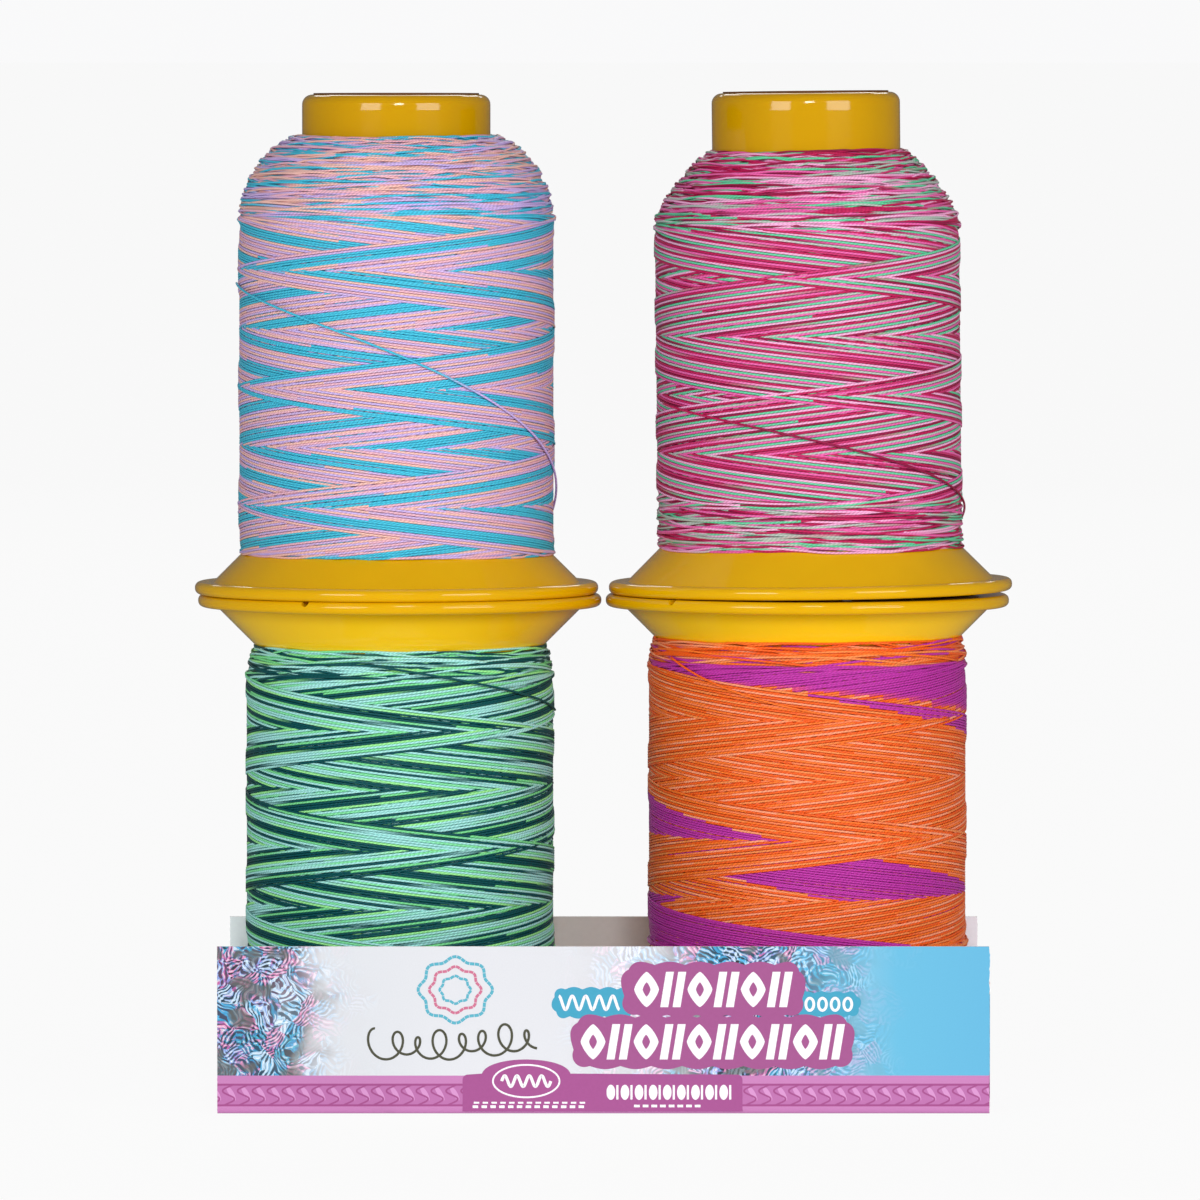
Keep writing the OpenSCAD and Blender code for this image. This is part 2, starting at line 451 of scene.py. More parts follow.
def lay_lattice(winder, rng, spec):
    """The outer layers: full strands up and down the body, which turn back at its two ends."""
    low = spec["low"]
    period = traverse(spec)
    half = period / 2
    high = low + spec["lead"] * half
    start = spec["end"] / 360 - PASSES * period
    n_runs = 2 * PASSES + 4
    widths = rng.uniform(0.07, 0.16, n_runs)
    nudge = rng.normal(0, 0.022, (n_runs, 4))
    slips = np.cumsum(rng.integers(-1, 2, n_runs))
    first_strand = len(winder.strands)
    for turn in range(int(PASSES * period) + 1):
        stop = min(CELLS, int((PASSES * period - turn) * RINGS) * FINE)
        if stop < FINE:
            break
        t = turn + np.arange(-HALO, CELLS + HALO + 1) / CELLS
        run = np.clip(np.floor(t / half).astype(int), 0, n_runs - 2)
        left = t - run * half
        right = half - left
        which = np.where(left < right, run, run + 1)
        x = fold(np.abs(np.minimum(left, right)), widths[which])
        share = np.where(left < right, x, half - x) / half
        s = low + (high - low) * np.where(run % 2 == 0, share, 1 - share)
        s = s + sum(nudge[run, k] * np.sin((k + 1) * math.pi * share) for k in range(4))

        def hue(i, turn=turn, run=run):
            return dye_column(spec, turn * RINGS + i, slips[run[HALO + i * FINE]])

        winder.lay(int(round((start + turn) * CELLS)) - HALO, s, hue, (HALO, HALO + stop))
    winder.join(first_strand)


def sideways(line, out):
    """Directions across a line that lies on a surface with those normals."""
    return unit(np.cross(unit(np.gradient(line, axis=0)), out))


def ring_points(line, out, side, height, width, sides):
    """Rings around a line; height is half their size along out, width half of it along side."""
    turn = math.pi + 2 * math.pi * np.arange(sides) / sides
    rings = (line[:, None] + out[:, None] * (height * np.cos(turn))[None, :, None]
             + side[:, None] * (width * np.sin(turn))[None, :, None])
    return rings.reshape(-1, 3)


def ring_quads(count, sides):
    """The faces between those rings."""
    k = np.arange(sides)
    i = np.arange(count)[:, None] * sides
    j = (k + 1) % sides
    return np.stack([i + k, i + j, i + j + sides, i + k + sides], 2).reshape(-1, 4)


def dye_uvs(column, length, repeat, sides):
    """Where those faces lie on the colour map, if each starts at its column of the dye and is
    that many columns long."""
    per_row = repeat // ROWS
    column = column % (per_row * ROWS)
    row = (column // per_row)[:, None]
    u0 = (column % per_row / per_row)[:, None] * np.ones((1, sides))
    u1 = np.minimum(u0 + length / per_row, 1)
    v0, v1 = ((row + (np.arange(sides) + i) / sides) / ROWS for i in (0, 1))
    corners = [np.stack(pair, 2) for pair in ((u0, v0), (u0, v1), (u1, v1), (u1, v0))]
    return np.stack(corners, 2).reshape(-1, 4, 2)


def settled(lift):
    """Heights over the winding's outline, with peaks and pits drawn in."""
    lift = np.where(lift > 0.1, 0.1 + (lift - 0.1) * 0.35, lift)
    return np.where(lift < -0.32, -0.32 + (lift + 0.32) * 0.2, lift)


def tubes(name, profile, strands, shift, visible, repeat, spool, material):
    """The visible parts of the strands as closed tubes, with a place on the colour map."""
    rings, quads, ends, uvs = [], [], [], []
    base = 0
    k = np.arange(SIDES)
    for seg0, turn, s, centre, hue in strands:
        show = visible[seg0:seg0 + len(hue)]
        if not show.any():
            continue
        # a run goes one segment on under what covers it
        padded = np.concatenate([[False], show, [False]])
        show = padded[:-2] | padded[1:-1] | padded[2:]
        edge = np.flatnonzero(np.diff(np.concatenate([[0], show.astype(int), [0]])))
        r, z, nr, nz = profile.at(s)
        lift = settled(centre - shift(s))
        rr, zz = r + nr * lift, z + nz * lift
        angle = 2 * math.pi * turn
        sin, cos = np.sin(angle), np.cos(angle)
        line = np.stack([rr * sin, -rr * cos, zz], 1)
        normal = np.stack([nr * sin, -nr * cos, nz], 1)
        side = sideways(line, normal)
        for a, b in edge.reshape(-1, 2):
            part = slice(a, b + 1)
            sink = np.zeros((b - a + 1, 1))
            sink[0] = sink[-1] = DIVE
            rings.append(ring_points(line[part] - normal[part] * sink, normal[part], side[part],
                                     HALF_H, TUBE_W, SIDES))
            quads.append(base + ring_quads(b - a, SIDES))
            ends += [base + k[::-1], base + (b - a) * SIDES + k]
            uvs.append(dye_uvs(hue[a:b], 1, repeat, SIDES))
            base += (b - a + 1) * SIDES
    points = to_pack(np.concatenate(rings), spool)
    return quad_mesh(name, points, np.concatenate(quads), np.array(ends), np.concatenate(uvs),
                     material)


def lathe(name, outline, spool, material):
    """A closed ring with that outline of (r, z), in a spool's own frame."""
    segments = 128
    outline = np.array(outline)
    n = len(outline)
    angle = np.arange(segments) * 2 * math.pi / segments
    points = np.stack([np.outer(np.sin(angle), outline[:, 0]),
                       -np.outer(np.cos(angle), outline[:, 0]),
                       np.broadcast_to(outline[:, 1], (segments, n))], 2).reshape(-1, 3)
    faces = [(i * n + j, i * n + (j + 1) % n, (i + 1) % segments * n + (j + 1) % n,
              (i + 1) % segments * n + j) for i in range(segments) for j in range(n)]
    return mesh_object(name, to_pack(points, spool), faces, material)


SEGMENT = 2.1           # length of thread in one column of the dye, mm
TWIST = 0.62            # length of one twist of its plies, mm


def thread_material(name, stops, repeat):
    """Twisted thread, dyed in a repeating row of colours along its length, with painted shade in the
    grooves between strands and painted light and shade along the twists of its plies.
    """
    m = Nodes(name)
    u, v, _ = m.split(m.add("UVMap", uv_map="OFBake").outputs[0])
    rows = v * float(ROWS)
    around = rows.math("FRACT")
    phase = (rows.math("FLOOR") + u) / float(ROWS)
    spot = m.vector(phase * (repeat * SEGMENT), around * 1.2)
    # the colours run into each other a little
    blur = (m.noise(2.2, spot, 2.0) - 0.5) * 0.006
    colour = m.ramp((phase + blur + 1.0).math("FRACT"), stops)
    twists = phase * (repeat * SEGMENT / TWIST) + around * 2.0
    ply_relief_and_shade = (twists * (2 * math.pi)).math("SINE") * 0.5 + 0.5
    fibre = m.noise(9.0, spot, 3.0, 0.6)
    # painted light and shade: each twist of the plies is drawn lighter on its crest and darker
    # between; the fibre noise adds a random tone
    shaded = m.toned(colour, (ply_relief_and_shade * 0.32 + 0.78) * (fibre * 0.34 + 0.83))
    # painted shade: towards the grooves between the strands, the flanks of each strand are drawn
    # darker and deeper in colour
    flank = abs(around - 0.5)
    painted_groove_shade = m.mix(1.0, shaded, shaded, "MULTIPLY")
    shaded = m.mix(flank.smooth(0.1, 0.3, 0.0, 0.5), shaded, painted_groove_shade)
    normal = m.bump(ply_relief_and_shade + fibre * 0.5, 0.45, 0.00004)
    return m.surface(shaded, fibre * 0.2 + 0.26, normal, Specular_IOR_Level=0.2)


def core_material(name, colour):
    """The deeper layers, seen only between the outer strands; their colour, a darker average of the
    thread's, is partly painted shade.
    """
    m = Nodes(name)
    stretch = m.add("Mapping")
    stretch.inputs["Scale"].default_value = (60, 60, 2400)
    m.put(stretch.inputs["Vector"], m.place())
    lines = m.noise(1.0, stretch.outputs[0], 2.0)
    # painted shade: darker lines across the deeper turns
    shade = m.mix(lines, darker(colour, 0.6), colour)
    return m.surface(shade, 0.7, m.bump(lines, 0.4, 0.0001))


def bands(*parts):
    """Colour stops from (share, colour) pairs, with short blends between them."""
    total = sum(p[0] for p in parts)
    stops, at = [], 0.0
    for share, colour in parts:
        width = share / total
        blend = min(0.009, width * 0.25)
        stops += [(at + blend, colour), (at + width - blend, colour)]
        at += width
    return stops


# profile   radius; height, length and power of the shoulder; width and height of the foot, mm
# low       height of the lower turning points of the outer strands, mm
# lead      rise in one turn, mm
# folds     whole turns nearest to one traverse
# end       angle of the last turn, degrees
# repeat    columns of the colour map before the dye starts again
# loose     column where the loose end is cut
# top_arcs, foot_arcs   turned ends of the layers below that show at the two ends
# dye       columns for each segment, first column, columns lost or won at a turning point
# accent    rate, start, length and share of the stretches that take one column's colour
# fine      the column where a short repeat takes over, and its length in segments
SPOOLS = {
    "upper_left": dict(
        profile=(22.1, 64.3, 12, 1.8, 0.2, 1), low=4.65, lead=16.44, folds=6, end=90,
        repeat=184, seed=11, loose=46, top_arcs=430, foot_arcs=0, fine=(65, 26.6),
        stops=bands((8.5, "45C0DC"), (3.5, "C9B2EA"), (4, "E9B4C4"), (4.5, "EFBEB4"), (3.5, "CDB2E2")),
        core="8FA8CC"),
    "upper_right": dict(
        profile=(21.4, 62.1, 10, 1.25, 0.2, 1), low=11.85, lead=16.3, folds=5, end=-24,
        repeat=232, seed=23, loose=36, top_arcs=430, foot_arcs=170,
        stops=bands((3, "C01C58"), (1.5, "9A1648"), (3, "EA66AC"), (3, "F2AED6"), (2.2, "B4C2B8"),
                    (1.0, "C8346E"), (2.5, "66D0A0")),
        core="A0406E"),
    "lower_left": dict(
        profile=(21.6, 63.5, 9, 1.7, 1.4, 6.5), low=10.0, lead=16.54, folds=5, end=291,
        repeat=152, seed=37, loose=4, top_arcs=380, foot_arcs=110,
        stops=bands((5.0, "045054"), (1.5, "98EA94"), (2.5, "A2E2DE"), (1.5, "80E0A0"),
                    (2.4, "A2E2DE"), (1.8, "045054"), (1.2, "A2E2DE"), (1.8, "76D890")),
        core="2F8070"),
    "lower_right": dict(
        profile=(22.3, 63, 9, 1.6, 0.9, 5), low=8.5, lead=16.66, folds=5, end=280,
        repeat=160, seed=51, loose=52, top_arcs=380, foot_arcs=90, dye=(1.0023, 28, 0.3),
        accent=(0.9898, 247, 318.7, 0.12, 10),
        fine=(24, 25.7),
        stops=bands((6, "BC35A4"), (8, "F0601C"), (7, "F47428"), (5, "F08A4C"), (5, "F79C76"),
                    (4, "F28050"), (5, "EE5E1E")),
        core="C85A28"),
}


def winding_slot(spool):
    return next(p["material_slot"] for p in frame["record"]["subparts"]
                if p["node"] == spool + "_winding")


def rounded(values, reach):
    """Values smoothed by a bell that reaches that many neighbours to each side."""
    bell = np.exp(-np.linspace(-2, 2, 2 * reach + 1) ** 2)
    return np.convolve(np.pad(values, reach, mode="edge"), bell / bell.sum(), "valid")


def wind(spool, spec):
    """Lays one spool's thread and shows the strands that can be seen. Returns its material."""
    rng = np.random.default_rng(spec["seed"])
    profile = Profile(*spec["profile"])
    winder = Winder(profile, -0.75)
    low, lead = spec["low"], spec["lead"]
    high = low + lead * traverse(spec) / 2
    lay_base(winder, profile.s1 - 0.2, high - 1.2)
    lay_arcs(winder, rng, profile.s1 - 0.2, high - 1.2, spec["top_arcs"], lead)
    if spec["foot_arcs"]:
        lay_base(winder, profile.s0 + 0.15, low + 1.6)
        lay_arcs(winder, rng, profile.s0 + 0.2, low + 1.4, spec["foot_arcs"], lead)
    n_arcs = len(winder.strands)
    lay_lattice(winder, rng, spec)

    # the winding's mean surface becomes its outline
    mean = rounded(winder.height[:, winder.margin:-winder.margin].mean(0), 30)
    grid = profile.s0 + np.arange(profile.n + 1) * STEP

    def shift(s):
        return np.interp(s, grid, mean)

    least_cells = 3
    owned = np.bincount(winder.owner[winder.owner >= 0], minlength=winder.segments)
    seen = owned >= least_cells
    thread = thread_material(spool + "_thread", spec["stops"], spec["repeat"])
    core = core_material(spool + "_core", spec["core"])
    arcs = tubes(spool + "_thread_ends", profile, winder.strands[:n_arcs], shift, seen,
                 spec["repeat"], spool, thread)
    body = tubes(spool + "_thread_body", profile, winder.strands[n_arcs:], shift, seen,
                 spec["repeat"], spool, thread)
    inner = np.stack([profile.r - profile.nr * CORE_DEPTH,
                      profile.z - profile.nz * CORE_DEPTH], 1)[::8]
    inner = inner[inner[:, 0] > BARREL_R + 0.1]
    wall = BARREL_R + 0.02
    outline = [(wall, CONE_SUM - BARREL_R), *inner.tolist(), (wall, inner[-1][1])]
    under = lathe(spool + "_thread_core", outline[::-1], spool, core)
    body_name = spool + "_spool"
    for piece in (arcs, body, under):
        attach(piece, body_name)
        winding_slot(spool)
    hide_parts(spool + "_winding")
    return thread


# -------------------- loose ends

TAIL_R = 0.16           # radius of the loose thread
TAIL_SIDES = 8
TAIL_STEP = 2.0         # degrees between its rings
TAIL_PACE = 0.35        # columns of the dye in that step
TAILS = {
    # radius of the line, first angle, last angle, height in the middle, fall, bend
    "upper_left": (22.42, -86, 112, 34.3, 0.16, 0.0006),
    "upper_right": (21.72, -70, 106, 22, 0.09, 0.0003),
    "lower_left": (21.92, -8, 84, 9.6, -0.062, -0.0002),
    "lower_right": (22.62, -58, 60, 15.4, -0.075, 0.0008),
}


def loose_end(spool, material, repeat, hue):
    """The free end of a thread, lying over its winding."""
    r, start, stop, mid_z, drop, bend = TAILS[spool]
    flip = -1 if spool.startswith("lower") else 1
    steps = int(abs(stop - start) / TAIL_STEP)
    degrees = np.linspace(start, stop, steps + 1)
    a = np.radians(degrees)
    line = np.stack([r * np.sin(a), -r * np.cos(a) * flip,
                     mid_z - drop * degrees - bend * degrees ** 2], 1)
    out = np.stack([np.sin(a), -np.cos(a) * flip, np.zeros(len(a))], 1)
    rings = ring_points(line, out, sideways(line, out), TAIL_R, TAIL_R, TAIL_SIDES)
    quads = ring_quads(steps, TAIL_SIDES)
    uvs = dye_uvs(hue + np.arange(steps) * TAIL_PACE, TAIL_PACE, repeat, TAIL_SIDES)
    k = np.arange(TAIL_SIDES)
    caps = np.array([k[::-1], steps * TAIL_SIDES + k])
    obj = quad_mesh(spool + "_loose_end", to_pack(rings, spool), quads, caps, uvs, material)
    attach(obj, spool + "_spool")
    winding_slot(spool)
    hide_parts(spool + "_tail")


for name, spec in SPOOLS.items():
    thread = wind(name, spec)
    loose_end(name, thread, spec["repeat"], spec["loose"])


# -------------------- spools and labels

def plastic():
    """Glossy yellow moulding, a little cloudy, with painted light on the cones that face down."""
    m = Nodes("yellow_plastic")
    at = m.place()
    z = m.split(at)[2]
    cloud, fine = m.noise(90.0, at, 3.0), m.noise(900.0, at, 2.0)
    colour = m.mix(cloud, "D9A400", "E6B103")
    # the last two millimetres of a neck draw in a little, and necks are darker
    level = abs(z - FLANGE_Z * MM)
    drawn = (level - 67.9 * MM).math("MAXIMUM", 0.0)
    normal = m.bump(drawn * -48.0, 1.0, 0.001)
    colour = m.mix(level.smooth(0.05, 0.062, 0.0, 0.8), colour, "C49200")
    # painted light: the downward-facing cone of a spool that stands on its neck is drawn lighter, in
    # place of light thrown up from the floor
    cone = z.smooth(0.035, 0.045) * z.smooth(0.067, 0.0695, 0.95, 0.0)
    colour = m.mix(cone, colour, "FFCC18")
    normal = m.bump(cloud + fine * 0.12, 0.2, 0.00008, normal)
    return m.surface(colour, fine * 0.05 + 0.07, normal, Subsurface_Weight=0.12,
                     Subsurface_Radius=(1.0, 0.6, 0.05), Subsurface_Scale=0.001,
                     Specular_IOR_Level=0.42)


def grained(name, scale, detail, dark, light, rough, specular):
    """Plain paper or board, with a fine grain between two colours."""
    m = Nodes(name)
    grain = m.noise(scale, m.place(), detail)
    colour = m.mix(grain, dark, light)
    return m.surface(colour, rough, m.bump(grain, 0.3, 0.00003), Specular_IOR_Level=specular)


yellow = plastic()
paper = grained("label_paper", 1800.0, 3.0, "5A3A22", "7A5334", 0.85, 0.04)
for name in SPOOLS:
    for part, material in (("_spool", yellow), ("_label", paper)):
        node = frame["nodes"][name + part]
        node.data.materials.clear()
        node.data.materials.append(material)


# -------------------- tray of printed card

TRAY_X, TRAY_Y, TRAY_H = 53.45, 29.5, 23.2
END_H = 18              # the two ends are cut lower
CARD = 0.5
FOLD_R = 0.9            # outside radius of a fold
FOLD_L = 1.5            # how far a wall's piece reaches under the tray
TAB_L, TAB_GAP = 14, 0.05
TAB_LOW, TAB_HIGH = 2.0, END_H - 1.5
TAB_Y = TRAY_Y - CARD - TAB_GAP
TAB_CORNER = 1.2


def card_normal(m, at, strength):
    """The card's grain, and the normal that it gives."""
    grain = m.noise(650.0, at, 3.0, 0.6)
    return grain, m.bump(grain, strength, 0.00003)


def yarn_colour(m, spot):
    """Looped yarn: ribs that run another way in each warped cell, with rings round its middle."""
    centred = m.add("VectorMath", operation="SUBTRACT")
    m.feed(centred, m.noise(0.2, spot, 2.0, output="Color"), (0.5, 0.5, 0.5))
    spread = m.add("VectorMath", operation="MULTIPLY_ADD")
    bent = m.feed(spread, centred.outputs[0], (5.5, 5.5, 0.0), spot)
    cell = m.add("TexVoronoi", feature="F1")
    cell.inputs["Scale"].default_value = 0.4
    m.put(cell.inputs["Vector"], bent)
    tone = m.split(cell.outputs["Color"])
    across, up, _ = m.split(bent)
    angle = tone[0] * 6.3
    rib = across * angle.math("COSINE") + up * angle.math("SINE")
    fibre = m.noise(1.3, bent, 3.0, 0.6, 0.5)
    wobble = fibre * 4.0
    ribs = (rib * 10.0 + wobble).math("SINE")
    rings = (Value(m, cell.outputs["Distance"]) * 22.0 + wobble).math("SINE")
    stripe = (ribs * 0.62 + rings * 0.38) * 0.5 + 0.5
    tint = (tone[1] + fibre * 0.8).math("FRACT")
    hues = m.ramp(tint, [(0.0, "2A8EC4"), (0.2, "58B8E6"), (0.36, "CDE4F6"),
                         (0.5, "7A9EE0"), (0.6, "C4489A"), (0.72, "EE9CC8"),
                         (0.84, "2F7EB6"), (1.0, "44B8D2")])
    dark = m.ramp(tone[2], [(0.0, "262A30"), (0.5, "1E4C66"), (1.0, "5A3F58")])
    yarn = m.mix(stripe.smooth(0.28, 0.52), dark, hues)
    yarn = m.mix(stripe.smooth(0.74, 0.88, 0.0, 0.55), yarn, "F4F7FB")
    hair = (rib * 31.0 + wobble * 3.0).math("SINE")
    yarn = m.mix(hair.smooth(0.2, 0.9, 0.0, 0.35), yarn, dark)
    gap = m.noise(0.26, spot, 1.0)
    return m.mix(gap.smooth(0.55, 0.62, 0.0, 0.8), yarn, "5C605E")


def band_colour(m, run, z):
    """The band along the foot: S-shaped stitches over pale drops, between two lines."""
    pitch, middle, half = 2.06, 2.62, 1.3
    mid = (z - middle) / half
    # an S, drawn as wide all along
    turn = mid * 3.6
    step = ((run + turn.math("SINE") * 0.8) / pitch).math("FRACT")
    slope = turn.math("COSINE") * 2.2
    steep = (slope * slope + 1.0).math("SQRT")
    stitch = (abs(step - 0.5) / steep).smooth(0.042, 0.075, 1.0, 0.0)
    # a drop between two of them, narrower at its top
    drop_x = ((mid * 0.72 + run) / pitch - 0.25).math("FRACT") - 0.5
    drop_z = (mid - 0.16) * 0.42
    drop = (drop_z * drop_z + drop_x * drop_x * (mid * -1.2 + 3.0)).math("SQRT")
    colour = m.mix(drop.smooth(0.29, 0.33), "CD8CC2", "B468A4")
    colour = m.mix(stitch, colour, "9C4583")
    band = m.mix(abs(mid).smooth(1.0, 1.06, 1.0, 0.0), "BF78B0", colour)
    line = abs(abs(mid) - 1.1).smooth(0.09, 0.13, 1.0, 0.0)
    return m.mix(line, band, "9C4583")


def print_material():
    """The printed outside: pale ground, a yarn and loop texture, sky blue and a stitched band."""
    m = Nodes("card_print")
    at = m.place()
    x, y, z = (axis * 1000.0 for axis in m.split(at))
    # the pattern runs round the tray: along x in front, back along x behind
    facing = (y * (-1 / 15)).math("MAXIMUM", -1.0).math("MINIMUM", 1.0)
    px = x * facing
    spot = m.vector(px + y, z)

    # where the texture is strong, faint or missing along the tray
    edge = px + (m.noise(0.16, spot, 3.0) - 0.5) * 16.0
    left = edge.smooth(-44.0, -31.0, 1.0, 0.0)
    right = edge.smooth(-9.0, 9.0) * edge.smooth(30.0, 42.0, 1.0, 0.0)
    pale = edge.smooth(-47.0, -36.0, 0.0, 0.6) * edge.smooth(4.0, 16.0, 1.0, 0.0)
    ground = m.ramp(px * (0.5 / TRAY_X) + 0.5,
                    [(0.0, "CED3D8"), (0.3, "D5D6DB"), (0.6, "D3D4D9"),
                     (0.7, "B5CBD6"), (0.8, "84BCD5"), (0.88, "5FB1D3"),
                     (1.0, "5BACD1")])
    bluish = m.mix(edge.smooth(20.0, 36.0, 0.0, 0.55), yarn_colour(m, spot), "6FBFE0")
    faded = m.mix(pale, bluish, "F4F2F8")
    colour = m.mix(left.math("MAXIMUM", right), ground, faded)

    # the band; on the two ends its stitches run along y alone
    long_side = abs(y).smooth(29.0, 29.3)
    band = band_colour(m, px * long_side + y, z)
    colour = m.mix(z.smooth(5.27, 5.36, 1.0, 0.0), colour, band)
    colour = m.toned(colour, m.noise(5.0, spot, 2.0) * 0.07 + 0.965)
    grain, normal = card_normal(m, at, 0.12)
    return m.surface(colour, grain * 0.12 + 0.42, normal, Specular_IOR_Level=0.4)


def inside_material():
    """The bare inside of white card, with painted bounce light: bluish at one end and pinkish at the
    other.
    """
    m = Nodes("card_inside")
    at = m.place()
    share = m.split(at)[0] * (0.5 / (TRAY_X * MM)) + 0.5
    # painted light: the tints along the tray stand for coloured light bounced off the spools onto
    # white card
    colour = m.ramp(share, [(0.0, "F4FBFF"), (0.12, "F2F6FA"), (0.3, "F8F2F0"),
                            (0.7, "F8F2F0"), (0.88, "E8E6F0"), (1.0, "ECEAF2")])
    flecks = m.noise(1500.0, at, 2.0) * 0.08 + 0.91
    colour = m.toned(colour, m.noise(60.0, at, 4.0, 0.6) * 0.1 + flecks)
    return m.surface(colour, 0.85, card_normal(m, at, 0.25)[1], Specular_IOR_Level=0.2)


card_print, card_inside = print_material(), inside_material()
card_edge = grained("card_edge", 2600.0, 2.0, "EDE9E6", "FBFAF8", 0.9, 0.2)


def grid_sheet(name, outer, inner, left, right, place, outside=None):
    """A bent sheet of card with raw edges. outer and inner are the two sides of its section, as
    points (a, b); the sheet runs across from left to right, which may change along the section.
    place(a, b, c) gives the point in the pack. Its slots are outside, inside and raw edge."""
    n = len(outer)
    share = np.concatenate([[0, 0.004], np.linspace(0.02, 0.98, 33), [0.996, 1]])
    m = len(share)
    across = left[:, None] + (right - left)[:, None] * share
    sides = []
    for line in (outer, inner):
        a = np.broadcast_to(line[:, :1], (n, m))
        b = np.broadcast_to(line[:, 1:], (n, m))
        sides.append(np.stack(place(a, b, across), 2).reshape(-1, 3))
    verts = np.concatenate(sides)
    at = np.arange(n * m).reshape(n, m)
    quad = np.stack([at[:-1, :-1], at[:-1, 1:], at[1:, 1:], at[1:, :-1]], 2).reshape(-1, 4)
    back = quad[:, ::-1] + n * m
    rim = np.concatenate([at[0, ::-1], at[1:, 0], at[-1, 1:], at[-2:0:-1, -1]])
    after = np.roll(rim, -1)
    edge = np.stack([rim, after, after + n * m, rim + n * m], 1)
    faces = np.concatenate([quad, back, edge])
    obj = mesh_object(name, verts, faces, outside or card_print, card_inside, card_edge)
    slots = np.repeat([0, 1, 2], [len(quad), len(back), len(edge)])
    obj.data.polygons.foreach_set("material_index", slots.astype(np.int32))
    obj.data.set_sharp_from_angle(angle=math.radians(38))
    return obj


def face_outwards(obj):
    """Turns every face of closed pieces outwards."""
    bm = bmesh.new()
    bm.from_mesh(obj.data)
    bmesh.ops.recalc_face_normals(bm, faces=bm.faces)
    bm.to_mesh(obj.data)
    bm.free()


def join(name, objects):
    """One object of several, with their slots kept."""
    with bpy.context.temp_override(active_object=objects[0], selected_editable_objects=objects):
        bpy.ops.object.join()
    objects[0].name = objects[0].data.name = name
    return objects[0]


def ell_section(wall, height):
    """Both sides of a wall folded up from the floor. wall is where its outside stands."""
    turn = np.linspace(0, math.pi / 2, 9)[1:]
    down = np.linspace(height, FOLD_R, 58)
    lines = []
    for depth in (0, CARD):
        r = FOLD_R - depth
        line = [(wall + depth, z) for z in down]
        line += [(wall + depth + r * (1 - math.cos(t)), depth + r * (1 - math.sin(t)))
                 for t in turn]
        lines.append(np.array(line + [(wall + FOLD_L, depth)]))
    return lines


def ragged(rng, n, size):
    """Small steps along a cut edge."""
    rough = rng.uniform(0, 1, n + 4)
    return size * (0.6 * rough[:n] + 0.4 * np.convolve(rough, np.ones(5) / 5, "valid")[:n])


def long_wall(name, turn, seed):
    """Front or back wall, with its fold. The back one is the front one turned half round."""
    rng = np.random.default_rng(seed)
    outer, inner = ell_section(-TRAY_Y, TRAY_H)
    n = len(outer)
    left = -TRAY_X + ragged(rng, n, 0.06)
    right = TRAY_X - ragged(rng, n, 0.22)
    return grid_sheet(name, outer, inner, left, right,
                      lambda a, b, c: (c * turn, a * turn, b + 0 * c))


def end_wall(name, turn, seed):
    """End wall, with its fold to the floor and the corner folds that lead to its glue tabs."""
    rng = np.random.default_rng(seed)
    outer, inner = ell_section(-TRAY_X, END_H)
    n = len(outer)
    side = np.where(outer[:, 1] > TAB_HIGH, TAB_Y, TAB_Y - FOLD_R)
    parts = [grid_sheet(name, outer, inner, side - ragged(rng, n, 0.04),
                        ragged(rng, n, 0.04) - side,
                        lambda a, b, c: (a * turn, c * turn, b + 0 * c))]
    t = np.linspace(0, math.pi / 2, 9)
    low, high = np.full(9, TAB_LOW), np.full(9, TAB_HIGH)
    for sy in (-1, 1):
        rims = [np.stack([-TRAY_X + FOLD_R - r * np.cos(t),
                          sy * (TAB_Y - FOLD_R + r * np.sin(t))], 1)
                for r in (FOLD_R, FOLD_R - CARD)]
        parts.append(grid_sheet(name + "_fold", *rims, low, high,
                                lambda a, b, c: (a * turn, b * turn, c + 0 * a)))
    return join(name, parts)


def glue_tabs(name):
    """Four tabs that run on from the corner folds, with their corners cut off."""
    z = np.linspace(TAB_LOW, TAB_HIGH, 12)
    full = np.ones(12)
    half = (TAB_HIGH - TAB_LOW) / 2
    trim = np.clip(np.abs(z - TAB_LOW - half) - half + TAB_CORNER, 0, TAB_CORNER)
    parts = []
    for sx in (-1, 1):
        for sy in (-1, 1):
            outer, inner = (np.stack([z, sy * y * full], 1) for y in (TAB_Y, TAB_Y - CARD))
            start = sx * (TRAY_X - FOLD_R) * full
            stop = sx * (TRAY_X - CARD - TAB_GAP - TAB_L + trim)
            parts.append(grid_sheet(name + "_part", outer, inner, start, stop,
                                    lambda a, b, c: (c, b + 0 * c, a + 0 * c)))
    return join(name, parts)


def floor_card(name):
    """The floor between the walls' folds."""
    y = np.linspace(-TRAY_Y + FOLD_L, TRAY_Y - FOLD_L, 24)
    side = np.full(24, TRAY_X - FOLD_L)
    return grid_sheet(name, np.stack([y, np.zeros(24)], 1), np.stack([y, np.full(24, CARD)], 1),
                      -side, side, lambda a, b, c: (c, a + 0 * c, b + 0 * c), card_edge)


def dress(obj, node):
    face_outwards(obj)
    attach(obj, "tray")
    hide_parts(node)


dress(long_wall("front_card", 1, 3), "tray_front_panel")
dress(long_wall("back_card", -1, 4), "tray_back_panel")
dress(end_wall("left_end_card", 1, 5), "tray_left_end")
dress(end_wall("right_end_card", -1, 6), "tray_right_end")
dress(glue_tabs("glue_tab_card"), "tray_glue_tabs")
dress(floor_card("floor_card"), "tray_floor")


# -------------------- crisp shapes of the print

def strip_faces(n, closed):
    """Faces between two lines of n points each; the second line is numbered on from the first."""
    return [[i, (i + 1) % n, n + (i + 1) % n, n + i] for i in range(n if closed else n - 1)]


